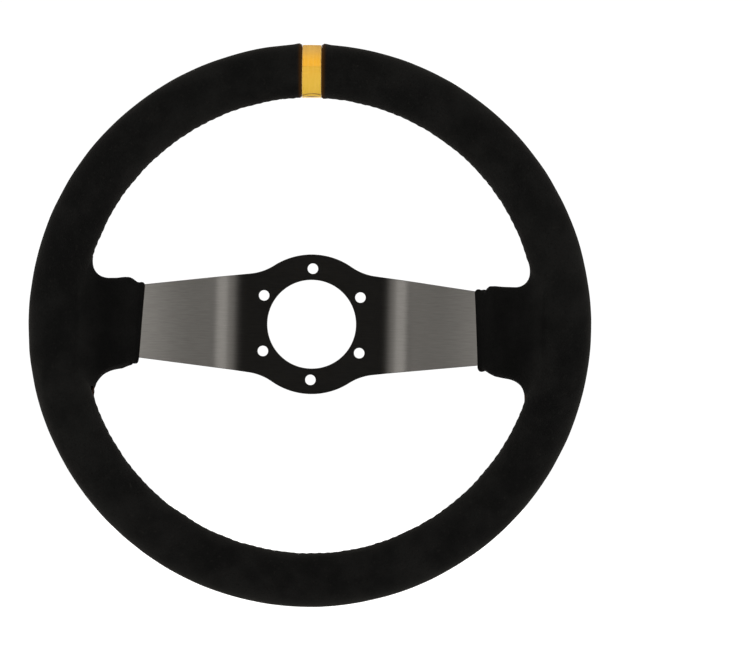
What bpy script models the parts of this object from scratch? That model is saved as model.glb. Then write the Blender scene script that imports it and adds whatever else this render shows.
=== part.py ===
"""A two-spoke competition steering wheel with a deep dish and a suede grip.

The wheel stands upright and faces -Y, so a driver looks along +Y at it, with +X to the right and +Z up.
The steering axis is the Y axis. The origin is the centre of the rear face of the spoke plate, the face
that bolts to a steering boss, and the rim stands forward of it, towards the driver.
"""

import math

import bmesh
import bpy
from mathutils import Vector

MM = 0.001

# Driving dimensions, in metres and degrees.
RIM_DIAMETER = 350 * MM
DISH = 90 * MM  # from the mounting face to the front of the grip
GRIP_RADIAL = 33.1 * MM  # thickness of the grip across the rim
GRIP_AXIAL = 29.0 * MM  # thickness of the grip from front to back
SUEDE_THICK = 1.0 * MM
CLEARANCE = 0.3 * MM  # between pieces that touch
SOFT_CLEARANCE = 0.4 * MM  # between the faceted soft layers

BOLT_CIRCLE = 70 * MM
BOLT_COUNT = 6
BOLT_HOLE = 6.6 * MM
CENTRE_HOLE = 55.8 * MM
HUB_DIAMETER = 87.9 * MM
PLATE_THICK = 4.0 * MM
PLATE_EDGE = 0.35 * MM  # rounding of the plate's edges
HUB_FILLET = 34 * MM  # concave corner between the hub and a spoke's edge
SPOKE_HALF_AT_AXIS = 35.8 * MM  # where a spoke's straight edge would cross the Z axis
SPOKE_TAPER = 0.12

BEND_START = 44 * MM
BEND_INNER = 30 * MM
BEND_OUTER = 20 * MM
TAB_START = 149 * MM
TAB_END = 166 * MM
TAB_CORNER = 4 * MM

RING_WIDTH = 13 * MM
RING_THICK = 4.0 * MM
RIVET_COUNT = 3
RIVET_PITCH = 12 * MM
RIVET_SHANK = 4.0 * MM
RIVET_HEAD = 7.0 * MM
RIVET_HEAD_HIGH = 1.6 * MM
RIVET_DOME = (1.3, 0.9, 0.45, 0.0)  # steps down the domed head, in radians above its edge
RIVET_TAIL = 0.9  # the closed head's size as a share of the domed head's
RIVET_TAIL_EDGE = 0.7  # height of the closed head's straight edge as a share of its whole height
RIVET_TAIL_FLAT = 0.5  # the flat on the closed head as a share of its size

CORE_QUARTERS = ("upper_right", "upper_left", "lower_left", "lower_right")

MARKER_WIDTH = 12.2 * MM
MARKER_THICK = 0.7 * MM
MARKER_ANGLE = 90.8  # the marker is sewn on a little to the left of the top
MARKER_SEAM_MARGIN = 0.3  # degrees between the end of a seam and the edge of the marker

SLEEVE_END = 107 * MM
SLEEVE_END_LEAN = 3.4  # the sleeve's end is not quite square: its top reaches nearer the hub
LEAN_FADES = 20 * MM  # the lean is gone this far up the sleeve
HEM_LENGTH = 4.5 * MM  # the snug hem before the padding lifts the suede
PAD_START = 113 * MM
PAD_HALF_WIDTH = 27.8 * MM
PAD_HALF_THICK = 6.4 * MM
PAD_CORNER = 5 * MM
FLARE_START = 120 * MM
FLARE_LENGTH = 30 * MM
FLARE_WIDE = 9 * MM
FLARE_THICK = 3.4 * MM
FLARE_CURVE = 1.6  # above 1, the sleeve widens faster as it nears the rim
SLEEVE_ROOT = 152 * MM  # inside the rim, where the rim cuts the sleeve off
SEAM_GAP = 1.6 * MM
THREAD = 1.0 * MM
SEAM_BACK = 8.0  # degrees: the closing seam sits a little behind the innermost line of the grip
WINDOW_SEAM_END = 19.5  # degrees from the spokes' centre line to the end of a window's seam
SLEEVE_SEAM_MARGIN = 2 * MM  # between the end of a sleeve's seam and the rim's suede

# Facets.
RIM_STEPS = 60
SECTION_STEPS = 14
BOLT_STEPS = 20
CENTRE_STEPS = 60
RIVET_STEPS = 12
HUB_STEPS = 14  # for a quarter of the hub's outline
CORNER_STEPS = 4
SLEEVE_CORNER_STEPS = 3
PAD_STEPS = 6
SEAM_STEP = 6.0  # degrees round the rim between points of a seam
BEND_STEP = 3.0 * MM

# Limits of the making, not sizes of the wheel.
THROUGH = 5 * MM  # how far a cutter for a hole runs past the plate
RING_THROUGH = 1 * MM  # and past the ring, where there is less room
STEEPEST_SLOPE = 80.0  # degrees: the search for the spokes' slope stays under it
SLOPE_HALVINGS = 60
SPLIT_TOLERANCE = 1e-7
EDGE_ANGLE = 50.0  # degrees: sharper edges of the plate are rounded

# Worked out from the driving dimensions.
RIM_CENTRE_Y = -(DISH - GRIP_AXIAL / 2)
GRIP_RADIUS = (RIM_DIAMETER - GRIP_RADIAL) / 2
PLATE_MID_Y = -PLATE_THICK / 2
RING_FRONT = RIM_CENTRE_Y - RING_THICK
RING_REAR = RIM_CENTRE_Y
TAB_MID_Y = RING_REAR + CLEARANCE + PLATE_THICK / 2
TAB_REAR = TAB_MID_Y + PLATE_THICK / 2
CORE_INSET = SUEDE_THICK + SOFT_CLEARANCE


def clear_scene():
    for thing in list(bpy.data.objects):
        bpy.data.objects.remove(thing, do_unlink=True)


def make_material(name, colour, roughness, metallic=0.0):
    material = bpy.data.materials.new(name)
    material.use_nodes = True
    shader = material.node_tree.nodes["Principled BSDF"]
    shader.inputs["Base Color"].default_value = (*colour, 1.0)
    shader.inputs["Roughness"].default_value = roughness
    shader.inputs["Metallic"].default_value = metallic
    return material


def add_object(name, bm, material, parent=None, smooth_angle=35):
    """Turns a bmesh into an object, with its faces turned outwards and its round parts shaded smooth."""
    bmesh.ops.recalc_face_normals(bm, faces=bm.faces)
    mesh = bpy.data.meshes.new(name)
    bm.to_mesh(mesh)
    bm.free()
    mesh.shade_smooth()
    mesh.set_sharp_from_angle(angle=math.radians(smooth_angle))
    obj = bpy.data.objects.new(name, mesh)
    bpy.context.scene.collection.objects.link(obj)
    if material:
        mesh.materials.append(material)
    obj.parent = parent
    return obj


def add_cutter(name, bm):
    cutter = add_object(name, bm, None)
    cutter.hide_render = True
    cutter.display_type = "WIRE"
    return cutter


def cut(target, *cutters):
    for cutter in cutters:
        boolean = target.modifiers.new("cut_" + cutter.name, "BOOLEAN")
        boolean.operation = "DIFFERENCE"
        boolean.solver = "EXACT"
        boolean.object = cutter


def loft(rings, closed=False):
    """Skins a row of rings of equal length. It closes on itself, or gets a flat cap at each end."""
    bm = bmesh.new()
    loops = [[bm.verts.new(point) for point in ring] for ring in rings]
    pairs = list(zip(loops, loops[1:]))
    if closed:
        pairs.append((loops[-1], loops[0]))
    else:
        bm.faces.new(loops[0])
        bm.faces.new(reversed(loops[-1]))
    for first, second in pairs:
        for i in range(len(first)):
            j = (i + 1) % len(first)
            bm.faces.new((first[i], second[i], second[j], first[j]))
    return bm


def turned(profile, steps, centre=(0, 0, 0)):
    """A solid turned round an axis parallel to Y, from (radius, y) points listed along the axis."""
    rings = []
    for radius, y in profile:
        angles = [2 * math.pi * i / steps for i in range(steps)]
        ring = [Vector((radius * math.cos(a), y, radius * math.sin(a))) for a in angles]
        rings.append([Vector(centre) + point for point in ring])
    return loft(rings)


def cylinder(radius, front, rear, steps, centre=(0, 0, 0)):
    return turned([(radius, front), (radius, rear)], steps, centre)


def join(parts):
    """One bmesh that holds several separate solids."""
    whole = bmesh.new()
    for part in parts:
        mesh = bpy.data.meshes.new("joined")
        part.to_mesh(mesh)
        part.free()
        whole.from_mesh(mesh)
        bpy.data.meshes.remove(mesh)
    return whole


# Rim: everything whose section runs round the steering axis.


def on_rim(radius, y, degrees):
    angle = math.radians(degrees)
    return Vector((radius * math.cos(angle), y, radius * math.sin(angle)))


def grip_point(inset, angle):
    """(radius, y) on the grip's section. Angle 0 faces the steering axis, and 90 degrees faces back."""
    across = GRIP_RADIAL / 2 - inset
    along = GRIP_AXIAL / 2 - inset
    return GRIP_RADIUS - across * math.cos(angle), RIM_CENTRE_Y + along * math.sin(angle)


def section_angles():
    """Angles round the grip, from one lip of the closing seam to the other. Every layer shares them."""
    half_gap = SEAM_GAP / GRIP_AXIAL
    start = math.radians(SEAM_BACK) + half_gap
    sweep = 2 * math.pi - 2 * half_gap
    return [start + sweep * i / SECTION_STEPS for i in range(SECTION_STEPS + 1)]


def whole_section(inset):
    return [grip_point(inset, a) for a in section_angles()]


def wrapped_section(outer_inset, inner_inset):
    """The section of a skin that goes round the grip and leaves a narrow seam on its inner side."""
    outside = [grip_point(outer_inset, a) for a in section_angles()]
    inside = [grip_point(inner_inset, a) for a in reversed(section_angles())]
    return outside + inside


def rim_sweep(section, start=0.0, sweep=360.0, steps=RIM_STEPS):
    whole = sweep >= 360.0
    stations = range(steps if whole else steps + 1)
    rings = [[on_rim(r, y, start + sweep * i / steps) for r, y in section] for i in stations]
    return loft(rings, closed=whole)


def marker_half_angle(width):
    return math.degrees(width / 2 / (RIM_DIAMETER / 2 - GRIP_RADIAL / 2))


# Spoke plate: a flat plan (x, z), pressed into a dish.


def dish_angle():
    """The spokes' slope, found by halving, so that both bends and the slope end exactly at the tab."""
    run = TAB_START - BEND_START
    drop = PLATE_MID_Y - TAB_MID_Y
    bends = BEND_INNER + BEND_OUTER
    low, high = 0.0, math.radians(STEEPEST_SLOPE)
    for _ in range(SLOPE_HALVINGS):
        angle = (low + high) / 2
        reached = bends * (1 - 1 / math.cos(angle)) + run * math.tan(angle)
        if reached < drop:
            low = angle
        else:
            high = angle
    return low


SLOPE = dish_angle()
SLOPE_START = BEND_START + BEND_INNER * math.sin(SLOPE)
SLOPE_END = TAB_START - BEND_OUTER * math.sin(SLOPE)


def plate_middle(x):
    """(y, slope) of the middle of the plate at a distance x from the steering axis."""
    x = abs(x)
    if x <= BEND_START:
        return PLATE_MID_Y, 0.0
    if x <= SLOPE_START:
        angle = math.asin((x - BEND_START) / BEND_INNER)
        return PLATE_MID_Y - BEND_INNER * (1 - math.cos(angle)), angle
    if x < SLOPE_END:
        start_y = PLATE_MID_Y - BEND_INNER * (1 - math.cos(SLOPE))
        return start_y - (x - SLOPE_START) * math.tan(SLOPE), SLOPE
    if x < TAB_START:
        angle = math.asin((TAB_START - x) / BEND_OUTER)
        return TAB_MID_Y + BEND_OUTER * (1 - math.cos(angle)), angle
    return TAB_MID_Y, 0.0


def off_plate(x, off, z):
    """A point at a distance off behind the middle of the plate, measured square to it."""
    y, slope = plate_middle(x)
    side = 1 if x >= 0 else -1
    return Vector((x + side * off * math.sin(slope), y + off * math.cos(slope), z))


def spoke_half_width(x):
    return SPOKE_HALF_AT_AXIS - SPOKE_TAPER * x


def arc(centre, radius, start, end, steps):
    angles = [start + (end - start) * i / steps for i in range(steps + 1)]
    return [(centre[0] + radius * math.cos(a), centre[1] + radius * math.sin(a)) for a in angles]


def plate_quarter(grow):
    """The upper right quarter of the plan, from the top of the hub to the end of the tab."""
    hub = HUB_DIAMETER / 2 + grow
    fillet = HUB_FILLET - grow
    edge_angle = math.atan(SPOKE_TAPER)
    edge_at_axis = SPOKE_HALF_AT_AXIS + grow / math.cos(edge_angle)
    # The fillet's centre lies on a line parallel to the spoke's edge, and at hub + fillet from the axis.
    rise = edge_at_axis + fillet / math.cos(edge_angle)
    a = 1 + SPOKE_TAPER**2
    b = -2 * SPOKE_TAPER * rise
    c = rise**2 - (hub + fillet) ** 2
    x = (-b + math.sqrt(b * b - 4 * a * c)) / (2 * a)
    centre = (x, rise - SPOKE_TAPER * x)
    towards_hub = math.atan2(centre[1], centre[0])
    hub_arc = arc((0, 0), hub, math.pi / 2, towards_hub, HUB_STEPS)
    fillet_arc = arc(centre, fillet, towards_hub - math.pi, -math.pi / 2 - edge_angle, HUB_STEPS // 2)
    end = TAB_END + grow
    corner = (end - TAB_CORNER, edge_at_axis - SPOKE_TAPER * end - TAB_CORNER)
    tab_corner = arc(corner, TAB_CORNER, math.pi / 2 - edge_angle, 0, CORNER_STEPS)
    return hub_arc + fillet_arc[1:] + tab_corner


def pressed_plate(grow=0.0):
    quarter = plate_quarter(grow)
    right = quarter + [(x, -z) for x, z in reversed(quarter[:-1])]
    left = [(-x, z) for x, z in reversed(right[1:-1])]
    bm = bmesh.new()
    face = bm.faces.new([bm.verts.new((x, -1.0, z)) for x, z in right + left])
    pushed = bmesh.ops.extrude_face_region(bm, geom=[face])["geom"]
    for element in pushed:
        if isinstance(element, bmesh.types.BMVert):
            element.co.y = 1.0
    bmesh.ops.recalc_face_normals(bm, faces=bm.faces)
    bends = ((BEND_START, SLOPE_START), (SLOPE_END, TAB_START))
    for start, end in bends:
        count = math.ceil((end - start) / BEND_STEP)
        for i in range(count + 1):
            for side in (-1, 1):
                place = side * (start + (end - start) * i / count)
                geom = bm.verts[:] + bm.edges[:] + bm.faces[:]
                where = {"plane_co": (place, 0, 0), "plane_no": (1, 0, 0), "dist": SPLIT_TOLERANCE}
                bmesh.ops.bisect_plane(bm, geom=geom, **where)
    half = PLATE_THICK / 2 + grow
    for vert in bm.verts:
        vert.co = off_plate(vert.co.x, half * vert.co.y, vert.co.z)
    return bm


def rivet_places(side):
    """Rivet centres on the middle of the ring, from the bottom up."""
    middle = (RIVET_COUNT - 1) / 2
    heights = [(i - middle) * RIVET_PITCH for i in range(RIVET_COUNT)]
    return [Vector((side * math.sqrt(GRIP_RADIUS**2 - z * z), 0, z)) for z in heights]


def all_rivet_places():
    return rivet_places(-1) + rivet_places(1)


def add_spoke_plate(material, root):
    plate = add_object("spoke_plate", pressed_plate(), material, root)
    angles = [math.radians(90 + 360 * i / BOLT_COUNT) for i in range(BOLT_COUNT)]
    reach = BOLT_CIRCLE / 2
    bolts = [(reach * math.cos(a), 0, reach * math.sin(a)) for a in angles]
    front = -PLATE_THICK - THROUGH
    holes = [cylinder(BOLT_HOLE / 2, front, THROUGH, BOLT_STEPS, place) for place in bolts]
    holes.append(cylinder(CENTRE_HOLE / 2, front, THROUGH, CENTRE_STEPS))
    shank_room = RIVET_SHANK / 2 + CLEARANCE
    for place in all_rivet_places():
        holes.append(cylinder(shank_room, RING_FRONT, TAB_REAR + THROUGH, RIVET_STEPS, place))
    cut(plate, add_cutter("plate_holes", join(holes)))
    edge = plate.modifiers.new("edge", "BEVEL")
    edge.width = PLATE_EDGE
    edge.segments = 1
    edge.limit_method = "ANGLE"
    edge.angle_limit = math.radians(EDGE_ANGLE)
    return plate


def ring_section(grow=0.0):
    inner = GRIP_RADIUS - RING_WIDTH / 2 - grow
    outer = GRIP_RADIUS + RING_WIDTH / 2 + grow
    front = RING_FRONT - grow
    rear = RING_REAR + grow
    return [(inner, front), (inner, rear), (outer, rear), (outer, front)]


def add_rim_ring(material, root):
    ring = add_object("rim_ring", rim_sweep(ring_section()), material, root)
    hole = RIVET_SHANK / 2 + CLEARANCE
    front = RING_FRONT - RING_THROUGH
    rear = RING_REAR + RING_THROUGH
    holes = [cylinder(hole, front, rear, RIVET_STEPS, place) for place in all_rivet_places()]
    cut(ring, add_cutter("ring_holes", join(holes)))


def rivet_profile():
    """Domed head in front of the ring, shank through both, and a flatter closed head behind the tab."""
    front = RING_FRONT - CLEARANCE
    rear = TAB_REAR + CLEARANCE
    head = RIVET_HEAD / 2
    shank = RIVET_SHANK / 2
    dome = [(head * math.cos(a), front - RIVET_HEAD_HIGH * math.sin(a)) for a in RIVET_DOME]
    tail = RIVET_TAIL * head
    tail_edge = rear + RIVET_TAIL_EDGE * RIVET_HEAD_HIGH
    closed_head = [(tail, rear), (tail, tail_edge), (RIVET_TAIL_FLAT * tail, rear + RIVET_HEAD_HIGH)]
    return dome + [(shank, front), (shank, rear)] + closed_head


def add_rivets(material, root):
    for side, name in ((-1, "left"), (1, "right")):
        for number, place in enumerate(rivet_places(side), start=1):
            rivet = turned(rivet_profile(), RIVET_STEPS, place)
            add_object(f"rivet_{name}_{number}", rivet, material, root)


def rivet_space():
    """What the core leaves free round the rivets."""
    radius = RIVET_HEAD / 2 + CLEARANCE
    front = RING_FRONT - 2 * CLEARANCE - RIVET_HEAD_HIGH
    rear = TAB_REAR + 2 * CLEARANCE + RIVET_HEAD_HIGH
    return join([cylinder(radius, front, rear, RIVET_STEPS, place) for place in all_rivet_places()])


def add_grip_core(material, root, spaces):
    """The foam round the ring, in four quarter arcs, so that each is a simple shape. They almost meet."""
    gap = math.degrees(CLEARANCE / (RIM_DIAMETER / 2 - GRIP_RADIAL))
    for number, name in enumerate(CORE_QUARTERS):
        foam = rim_sweep(whole_section(CORE_INSET), 90 * number + gap / 2, 90 - gap, RIM_STEPS // 4)
        quarter = add_object(f"grip_core_{name}", foam, material, root)
        cut(quarter, *spaces)


# Spoke sleeves: rounded tubes that follow the sloping end of each spoke.


def sleeve_size(x):
    """Half width, half thickness and corner radius: a snug hem, then the padded part, flaring at the rim."""
    if x < PAD_START:
        skin = CLEARANCE + SUEDE_THICK
        return spoke_half_width(x) + skin, PLATE_THICK / 2 + skin, skin
    flare = max(0.0, x - FLARE_START) / FLARE_LENGTH
    wide = PAD_HALF_WIDTH + FLARE_WIDE * flare**FLARE_CURVE
    return wide, PAD_HALF_THICK + FLARE_THICK * flare, PAD_CORNER


def sleeve_ring(x, inset, side):
    """A rounded oblong square to the plate. The lean moves the upper side of the ring nearer the hub."""
    wide, thick, round_part = (size - inset for size in sleeve_size(x))
    lean = max(0.0, 1 - (x - SLEEVE_END) / LEAN_FADES) * math.tan(math.radians(SLEEVE_END_LEAN))
    points = []
    for number, (up, back) in enumerate(((1, 1), (-1, 1), (-1, -1), (1, -1))):
        centre = (up * (wide - round_part), back * (thick - round_part))
        quarter = math.radians(90 * number)
        for z, off in arc(centre, round_part, quarter, quarter + math.pi / 2, SLEEVE_CORNER_STEPS):
            points.append(off_plate(side * (x - lean * z), off, z))
    return points


def padded_stations():
    return [PAD_START + (SLEEVE_ROOT - PAD_START) * i / PAD_STEPS for i in range(PAD_STEPS + 1)]


def sleeve_stations(start):
    return [start, SLEEVE_END + HEM_LENGTH] + padded_stations()


def sleeve_tube(side, stations, inset):
    return loft([sleeve_ring(x, inset, side) for x in stations])


def seam_slit(side):
    """The space that the closing seam leaves along the back of a sleeve, from inside it to well outside."""
    half = SEAM_GAP / 2
    inner = PLATE_THICK / 4
    outer = 2 * (PAD_HALF_THICK + FLARE_THICK)
    corners = ((half, inner), (-half, inner), (-half, outer), (half, outer))
    stations = (SLEEVE_END - HEM_LENGTH, (PAD_START + FLARE_START) / 2, SLOPE_END, TAB_START)
    return loft([[off_plate(side * x, off, z) for z, off in corners] for x in stations])


def add_sleeves(materials, root, plate_space, core_space, cover_space):
    """Foam pads and suede sleeves round both spokes. It returns the room that the rim's suede leaves them."""
    spaces = []
    for side, name in ((-1, "left"), (1, "right")):
        padding = sleeve_tube(side, padded_stations(), SUEDE_THICK + SOFT_CLEARANCE)
        pad = add_object(f"spoke_pad_{name}", padding, materials["foam"], root)
        cut(pad, plate_space, core_space)
        skin = sleeve_tube(side, sleeve_stations(SLEEVE_END), 0.0)
        sleeve = add_object(f"spoke_sleeve_{name}", skin, materials["suede"], root)
        inside = sleeve_tube(side, sleeve_stations(SLEEVE_END - HEM_LENGTH), SUEDE_THICK)
        hollow = add_cutter(f"sleeve_hollow_{name}", inside)
        slit = add_cutter(f"sleeve_slit_{name}", seam_slit(side))
        cut(sleeve, hollow, slit, cover_space)
        spaces.append(sleeve_tube(side, padded_stations(), SUEDE_THICK))
    return add_cutter("sleeve_space", join(spaces))


def add_thread(name, points, material, root):
    """A sewn seam as one closed cord along the joint."""
    curve = bpy.data.curves.new(name, "CURVE")
    curve.dimensions = "3D"
    curve.bevel_depth = THREAD / 2
    curve.bevel_resolution = 1
    curve.use_fill_caps = True
    spline = curve.splines.new("POLY")
    spline.points.add(len(points) - 1)
    for target, point in zip(spline.points, points):
        target.co = (*point, 1.0)
    curve.materials.append(material)
    obj = bpy.data.objects.new(name, curve)
    bpy.context.scene.collection.objects.link(obj)
    obj.parent = root


def add_rim_seam(name, start, end, material, root):
    radius, y = grip_point(SUEDE_THICK / 2, math.radians(SEAM_BACK))
    count = max(3, round(abs(end - start) / SEAM_STEP))
    points = [on_rim(radius, y, start + (end - start) * i / count) for i in range(count + 1)]
    add_thread(name, points, material, root)


def add_sleeve_seam(name, side, material, root):
    """Along the back of the sleeve, from its hem to just short of the rim's suede."""
    rim_inside = RIM_DIAMETER / 2 - GRIP_RADIAL
    stations = [x for x in sleeve_stations(SLEEVE_END + MM) if x < rim_inside - SLEEVE_SEAM_MARGIN]
    points = [off_plate(side * x, sleeve_size(x)[1] - SUEDE_THICK / 2, 0) for x in stations]
    add_thread(name, points, material, root)


def build():
    clear_scene()
    root = bpy.data.objects.new("steering_wheel", None)
    bpy.context.scene.collection.objects.link(root)
    materials = {
        "plate": make_material("black_anodised_aluminium", (0.022, 0.021, 0.020), 0.36, 1.0),
        "ring": make_material("bare_aluminium", (0.62, 0.62, 0.61), 0.45, 1.0),
        "rivet": make_material("rivet_steel", (0.45, 0.45, 0.44), 0.40, 1.0),
        "foam": make_material("foam", (0.05, 0.05, 0.05), 0.90),
        "suede": make_material("black_suede", (0.012, 0.011, 0.010), 0.95),
        "marker": make_material("yellow_marker", (0.95, 0.48, 0.04), 0.45),
        "thread": make_material("black_thread", (0.010, 0.009, 0.009), 0.70),
    }

    add_spoke_plate(materials["plate"], root)
    add_rim_ring(materials["ring"], root)
    add_rivets(materials["rivet"], root)

    plate_space = add_cutter("plate_space", pressed_plate(CLEARANCE))
    ring_space = add_cutter("ring_space", rim_sweep(ring_section(CLEARANCE)))
    fasteners = add_cutter("rivet_room", rivet_space())
    add_grip_core(materials["foam"], root, (ring_space, plate_space, fasteners))

    core_space = add_cutter("core_space", rim_sweep(whole_section(CORE_INSET - CLEARANCE)))
    cover_space = add_cutter("cover_space", rim_sweep(whole_section(-CLEARANCE)))
    sleeve_space = add_sleeves(materials, root, plate_space, core_space, cover_space)

    edge = marker_half_angle(MARKER_WIDTH + 2 * CLEARANCE)
    skin = wrapped_section(0.0, SUEDE_THICK)
    cover = rim_sweep(skin, MARKER_ANGLE + edge, 360 - 2 * edge)
    rim_cover = add_object("rim_cover", cover, materials["suede"], root)
    cut(rim_cover, sleeve_space)

    half = marker_half_angle(MARKER_WIDTH)
    band = wrapped_section(SUEDE_THICK - MARKER_THICK, SUEDE_THICK)
    add_object("centre_marker", rim_sweep(band, MARKER_ANGLE - half, 2 * half, 2), materials["marker"], root)

    thread = materials["thread"]
    outside = edge + MARKER_SEAM_MARGIN
    inside = half - MARKER_SEAM_MARGIN
    add_rim_seam("seam_upper_left", MARKER_ANGLE + outside, 180 - WINDOW_SEAM_END, thread, root)
    add_rim_seam("seam_upper_right", MARKER_ANGLE - outside, WINDOW_SEAM_END, thread, root)
    add_rim_seam("seam_lower", 180 + WINDOW_SEAM_END, 360 - WINDOW_SEAM_END, thread, root)
    add_rim_seam("seam_marker", MARKER_ANGLE + inside, MARKER_ANGLE - inside, thread, root)
    add_sleeve_seam("seam_sleeve_left", -1, thread, root)
    add_sleeve_seam("seam_sleeve_right", 1, thread, root)


build()
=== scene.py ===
"""The looks of the two-spoke suede steering wheel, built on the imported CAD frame.

The frame is in metres: X to the driver's right, Y away from the driver along the steering axis, Z up.
"""

import math

import bmesh
import bpy
import numpy as np
from mathutils import Matrix, Vector


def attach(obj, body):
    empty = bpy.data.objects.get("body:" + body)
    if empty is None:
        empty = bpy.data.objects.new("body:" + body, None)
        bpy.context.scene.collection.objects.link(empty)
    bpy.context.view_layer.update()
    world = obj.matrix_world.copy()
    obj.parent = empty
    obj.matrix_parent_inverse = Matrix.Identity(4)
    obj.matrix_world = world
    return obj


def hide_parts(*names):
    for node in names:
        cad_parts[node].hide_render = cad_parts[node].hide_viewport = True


MM = 0.001
SIDES = ((-1, "left"), (1, "right"))

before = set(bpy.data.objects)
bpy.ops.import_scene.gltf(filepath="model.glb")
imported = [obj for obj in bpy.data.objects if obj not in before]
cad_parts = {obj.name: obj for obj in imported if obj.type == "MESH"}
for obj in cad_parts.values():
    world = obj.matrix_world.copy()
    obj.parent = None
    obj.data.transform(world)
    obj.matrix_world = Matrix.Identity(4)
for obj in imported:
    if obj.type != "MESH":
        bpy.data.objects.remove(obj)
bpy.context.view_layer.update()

# ---- Dimensions, which repeat the CAD's own.

RIM_RADIUS = 175 * MM
GRIP_RADIAL = 33.1 * MM
GRIP_AXIAL = 29.0 * MM
RIM_CENTRE_Y = -(90 * MM - GRIP_AXIAL / 2)
GRIP_RADIUS = RIM_RADIUS - GRIP_RADIAL / 2
SUEDE_THICK = 1.0 * MM

PLATE_THICK = 4.0 * MM
BOLT_CIRCLE = 70 * MM
BOLT_HOLE = 6.6 * MM
CENTRE_HOLE = 55.8 * MM
HUB_DIAMETER = 87.9 * MM
HUB_FILLET = 34 * MM
SPOKE_HALF_AT_AXIS = 35.8 * MM
SPOKE_TAPER = 0.12
BEND_START = 44 * MM
BEND_INNER = 30 * MM
BEND_OUTER = 20 * MM
BEND_EASE = 4.5 * MM  # a bend fades in and out over this length each way
TAB_START = 149 * MM
TAB_END = 166 * MM
TAB_CORNER = 4 * MM
TAB_MID_Y = RIM_CENTRE_Y + 0.3 * MM + PLATE_THICK / 2
PLATE_MID_Y = -PLATE_THICK / 2

SLEEVE_END = 107 * MM
RIGHT_REACH = 1.8 * MM  # the right sleeve reaches this much nearer to the hub
SLEEVE_END_LEAN = math.radians(3.4)
LEAN_FADES = 20 * MM
SEAM_BACK = math.radians(8.0)
MARKER_ANGLE = math.radians(90.8)
MARKER_WIDTH = 12.2 * MM


def arc(centre, radius, start, end, steps):
    angles = [start + (end - start) * i / steps for i in range(steps + 1)]
    return [(centre[0] + radius * math.cos(a), centre[1] + radius * math.sin(a)) for a in angles]


def dish_angle():
    """The spokes' slope, found by halving, so that both bends and the slope end exactly at the tab."""
    low, high = 0.0, math.radians(80)
    for _ in range(60):
        angle = (low + high) / 2
        bends = (BEND_INNER + BEND_OUTER) * (1 - 1 / math.cos(angle))
        if bends + (TAB_START - BEND_START) * math.tan(angle) < PLATE_MID_Y - TAB_MID_Y:
            low = angle
        else:
            high = angle
    return low


SLOPE = dish_angle()
SLOPE_START = BEND_START + BEND_INNER * math.sin(SLOPE)
SLOPE_END = TAB_START - BEND_OUTER * math.sin(SLOPE)
SLOPE_START_Y = PLATE_MID_Y - BEND_INNER * (1 - math.cos(SLOPE))


def plate_middle(x):
    """(y, slope) of the middle of the plate at a distance x from the steering axis, for an array of x."""
    x = np.abs(x)
    first = np.arcsin(np.clip((x - BEND_START) / BEND_INNER, 0, 1))
    last = np.arcsin(np.clip((TAB_START - x) / BEND_OUTER, 0, 1))
    parts = [x <= BEND_START, x <= SLOPE_START, x < SLOPE_END, x < TAB_START]
    y = np.select(
        parts,
        [
            PLATE_MID_Y + 0 * x,
            PLATE_MID_Y - BEND_INNER * (1 - np.cos(first)),
            SLOPE_START_Y - (x - SLOPE_START) * math.tan(SLOPE),
            TAB_MID_Y + BEND_OUTER * (1 - np.cos(last)),
        ],
        TAB_MID_Y,
    )
    return y, np.select(parts, [0 * x, first, SLOPE + 0 * x, last], 0)


def eased_plate(x):
    """(y, slope) of the plate with its bends eased in and out, by averaging over a short stretch."""
    near = [plate_middle(np.abs(x) + shift) for shift in np.linspace(-BEND_EASE, BEND_EASE, 11)]
    return sum(y for y, _ in near) / len(near), sum(slope for _, slope in near) / len(near)


def off_plate(x, off, z):
    """Points at a distance off behind the middle of the plate, measured square to it."""
    y, slope = eased_plate(x)
    side = np.where(x >= 0, 1.0, -1.0)
    return np.stack([x + side * off * np.sin(slope), y + off * np.cos(slope), z + 0 * x], axis=-1)


# ---- Noise and shape helpers.


def smoothstep(value, low, high):
    t = np.clip((value - low) / (high - low), 0, 1)
    return t * t * (3 - 2 * t)


def lattice(ix, iy, iz, seed):
    """A repeatable number from 0 to 1 for each lattice point."""
    with np.errstate(over="ignore"):
        h = ix.astype(np.uint32) * np.uint32(73856093)
        h ^= iy.astype(np.uint32) * np.uint32(19349663)
        h ^= iz.astype(np.uint32) * np.uint32(83492791)
        h ^= np.uint32(seed * 2654435761 % 2**32)
        h = (h ^ (h >> np.uint32(13))) * np.uint32(1274126177)
        h = (h ^ (h >> np.uint32(16))) * np.uint32(2246822519)
        h ^= h >> np.uint32(15)
    return h.astype(np.float64) / 2**32


def noise(points, size, seed=0):
    """Smooth value noise from -1 to 1, with lumps about as large as size."""
    q = points / size + 1000.0
    base = np.floor(q)
    f = q - base
    f = f * f * f * (f * (f * 6 - 15) + 10)
    i = base.astype(np.int64)
    total = 0.0
    for corner in np.ndindex(2, 2, 2):
        x, y, z = (f[..., axis] if far else 1 - f[..., axis] for axis, far in enumerate(corner))
        at = (i[..., axis] + far for axis, far in enumerate(corner))
        total = total + x * y * z * lattice(*at, seed)
    return 2 * total - 1


def add_object(name, data):
    obj = bpy.data.objects.new(name, data)
    bpy.context.scene.collection.objects.link(obj)
    return obj


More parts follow.
